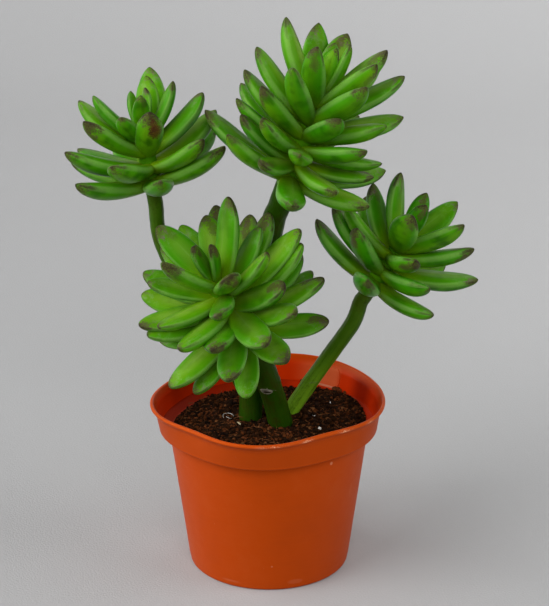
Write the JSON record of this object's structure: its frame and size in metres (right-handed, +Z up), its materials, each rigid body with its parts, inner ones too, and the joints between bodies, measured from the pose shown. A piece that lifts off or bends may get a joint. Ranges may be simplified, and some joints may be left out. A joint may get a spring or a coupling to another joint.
{
  "type": "potted echeveria",
  "caption": "Multi-headed rosette succulent in a round nursery pot: leafy heads on bare stems rise from peat, free-standing on the pot's flat base.",
  "frame": {"origin": "centre of the pot's underside, on the surface that the pot stands on", "axes": "+Z up out of the pot, -Y the front seen in the picture, +X to the right in the picture"},
  "size_m": [0.2088, 0.1321, 0.2866],
  "materials": {
    "pot_plastic": "satin",
    "peat": "matte",
    "stem_skin": "satin",
    "leaf_flesh": "satin"
  },
  "bodies": {
    "root": {"pot": "pot_plastic", "soil": "peat", "stem_front": "stem_skin", "stem_top": "stem_skin", "stem_right": "stem_skin", "stem_left": "stem_skin", "head_front": "leaf_flesh", "head_top": "leaf_flesh", "head_right": "leaf_flesh", "head_left": "leaf_flesh"}
  },
  "joints": []
}
